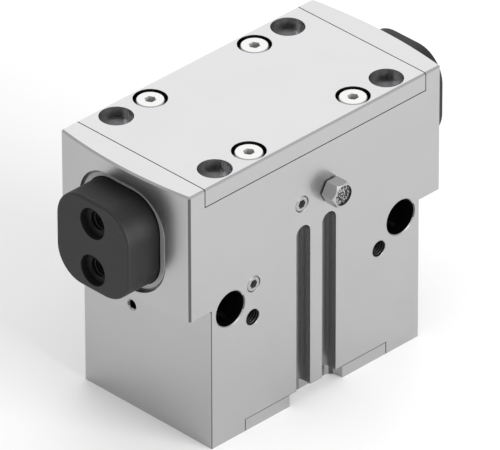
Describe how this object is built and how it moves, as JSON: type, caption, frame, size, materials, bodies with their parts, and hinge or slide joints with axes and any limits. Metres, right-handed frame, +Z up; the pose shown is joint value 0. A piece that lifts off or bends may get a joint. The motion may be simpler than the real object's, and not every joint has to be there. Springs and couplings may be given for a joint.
{
  "type": "sealed parallel gripper",
  "caption": "Pneumatic parallel gripper with a T-shaped body, sealed rounded base jaws that slide out at both ends, and a wedge-hook drive moved by a piston.",
  "frame": {"origin": "centre of the body's underside, midway between its four mounting holes", "axes": "+X along the right jaw's opening travel, -Y out of the face with the air connections, +Z up from the mounting side to the top cover"},
  "size_m": [0.1256, 0.0567, 0.0876],
  "materials": {
    "body_aluminium": "fine silver anodised, satin",
    "cover_aluminium": "fine silver anodised, satin, ground flat",
    "jaw_steel": "hardened and blackened, satin",
    "screw_steel": "bright zinc plated",
    "plug_steel": "plain steel, satin",
    "seal_rubber": "moulded, matt",
    "washer_rubber": "moulded, matt",
    "scraper_metal": "satin",
    "breather_metal": "nickel plated",
    "sintered_metal": "sintered grains, porous",
    "ball_steel": "polished",
    "bush_bronze": "turned",
    "spring_steel": "phosphated",
    "piston_aluminium": "turned",
    "magnet_compound": "plastic-bonded magnet",
    "guide_plastic": "filled plastic",
    "rod_steel": "hard chromed and polished",
    "wedge_steel": "hardened and ground"
  },
  "bodies": {
    "body": {"housing": "body_aluminium", "top_cover": "cover_aluminium", "bottom_cover": "cover_aluminium", "cover_screws": "screw_steel", "bottom_cover_screws": "screw_steel", "front_plugs": "plug_steel", "cover_seal": "seal_rubber", "bottom_cover_seal": "seal_rubber", "left_jaw_seal": "seal_rubber", "right_jaw_seal": "seal_rubber", "rod_seal": "seal_rubber", "left_scraper_ring": "scraper_metal", "right_scraper_ring": "scraper_metal", "vent_body": "breather_metal", "vent_disc": "sintered_metal", "vent_washer": "washer_rubber", "duct_ball": "ball_steel", "rod_bush": "bush_bronze", "seal_retaining_ring": "spring_steel"},
    "piston": {"piston": "piston_aluminium", "piston_seal": "seal_rubber", "piston_magnet": "magnet_compound", "piston_guide_ring": "guide_plastic", "piston_screw": "screw_steel", "piston_rod": "rod_steel", "wedge_hook": "wedge_steel", "wedge_hook_screw": "screw_steel"},
    "left_jaw": {"left_jaw": "jaw_steel"},
    "right_jaw": {"right_jaw": "jaw_steel"}
  },
  "joints": [
    {"name": "piston_slide", "type": "slide", "parent": "body", "child": "piston", "axis": [0, 0, 1], "range_m": [0, 0.016]},
    {"name": "left_jaw_slide", "type": "slide", "parent": "body", "child": "left_jaw", "axis": [-1, 0, 0], "range_m": [0, 0.008]},
    {"name": "right_jaw_slide", "type": "slide", "parent": "body", "child": "right_jaw", "axis": [1, 0, 0], "range_m": [0, 0.008]}
  ],
  "couplings": [
    {"joint": "left_jaw_slide", "follows": "piston_slide", "ratio": 0.5},
    {"joint": "right_jaw_slide", "follows": "piston_slide", "ratio": 0.5}
  ]
}
